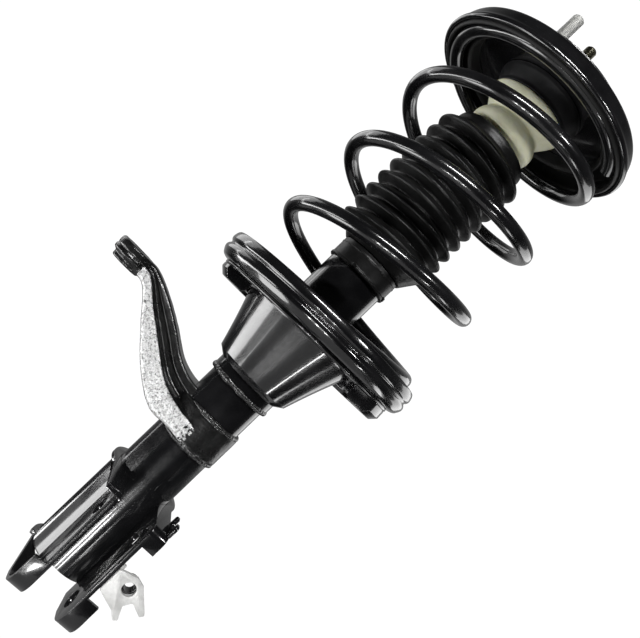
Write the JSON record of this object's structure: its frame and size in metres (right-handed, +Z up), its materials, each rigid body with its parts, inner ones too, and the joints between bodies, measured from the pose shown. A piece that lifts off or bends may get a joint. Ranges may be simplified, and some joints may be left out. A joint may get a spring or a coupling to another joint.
{
  "type": "suspension strut assembly",
  "caption": "Front suspension strut with coil spring, telescopic damper, dust boot, turning top mount, steering arm and knuckle bracket.",
  "frame": {"origin": "on the strut's axis, in the plane of the top mount's upper flange face, which bolts up against the car body", "axes": "+Z up the strut's axis from the knuckle bracket to the studs; the steering arm points along -X; the knuckle bracket opens towards -Y, turned 14 degrees towards +X; the strut is at full extension"},
  "size_m": [0.2496, 0.1888, 0.599],
  "materials": {
    "black_gloss": "glossy black coat",
    "spring_black": "glossy black epoxy on spring wire",
    "forged_arm": "black painted forging with a coarse skin",
    "weld_black": "painted weld bead",
    "zinc": "bright zinc plate",
    "olive_zinc": "dull yellow zinc plate",
    "ground_chrome": "hard chrome rod, dull zinc thread",
    "bare_steel": "machined steel",
    "sinter": "sintered iron",
    "boot_rubber": "matt black bellows rubber",
    "seat_rubber": "matt black rubber",
    "stop_foam": "cream cellular urethane",
    "stop_cup": "black moulding",
    "bronze_bush": "bronze and polymer bush",
    "bearing_steel": "polished bearing steel",
    "cage": "natural nylon",
    "ptfe": "filled polymer band"
  },
  "bodies": {
    "strut_body": {"outer_tube": "black_gloss", "base_cap": "black_gloss", "inner_cylinder": "bare_steel", "foot_valve": "sinter", "rod_guide": "sinter", "guide_bush": "bronze_bush", "oil_seal": "seat_rubber", "bump_cap": "black_gloss", "knuckle_bracket": "black_gloss", "sensor_clip": "black_gloss", "hose_bracket": "zinc", "hose_nut": "black_gloss", "steering_arm": "forged_arm", "weld_beads": "weld_black", "support_cone": "black_gloss", "seat_base_plate": "black_gloss", "seat_stiffener": "black_gloss", "lower_spring_seat": "black_gloss", "coil_spring": "spring_black", "dust_boot": "boot_rubber"},
    "rod_and_seat": {"piston_rod": "ground_chrome", "piston": "sinter", "piston_band": "ptfe", "piston_shims": "bare_steel", "piston_nut": "bare_steel", "rebound_stop": "cage", "stop_cup": "stop_cup", "bump_stop": "stop_foam", "upper_spring_seat": "black_gloss", "upper_isolator": "seat_rubber", "bearing_inner_race": "bearing_steel", "bearing_balls": "bearing_steel", "bearing_cage": "cage", "bearing_spacer": "bare_steel", "rod_washer": "bare_steel", "rod_nut": "olive_zinc"},
    "top_mount": {"bearing_outer_race": "bearing_steel", "mount_rubber": "seat_rubber", "mount_shell": "black_gloss", "mount_base_plate": "black_gloss", "mount_studs": "zinc"}
  },
  "joints": [
    {"name": "damper_stroke", "type": "slide", "parent": "strut_body", "child": "rod_and_seat", "axis": [0, 0, 1], "range_m": [-0.11, 0], "stiffness_N_per_m": 18000, "springref_m": 0.03, "deforming": ["coil_spring", "dust_boot"]},
    {"name": "mount_swivel", "type": "hinge", "parent": "rod_and_seat", "child": "top_mount", "pos_m": [0, 0, 0.0065], "axis": [0, 0, 1], "continuous": true}
  ]
}
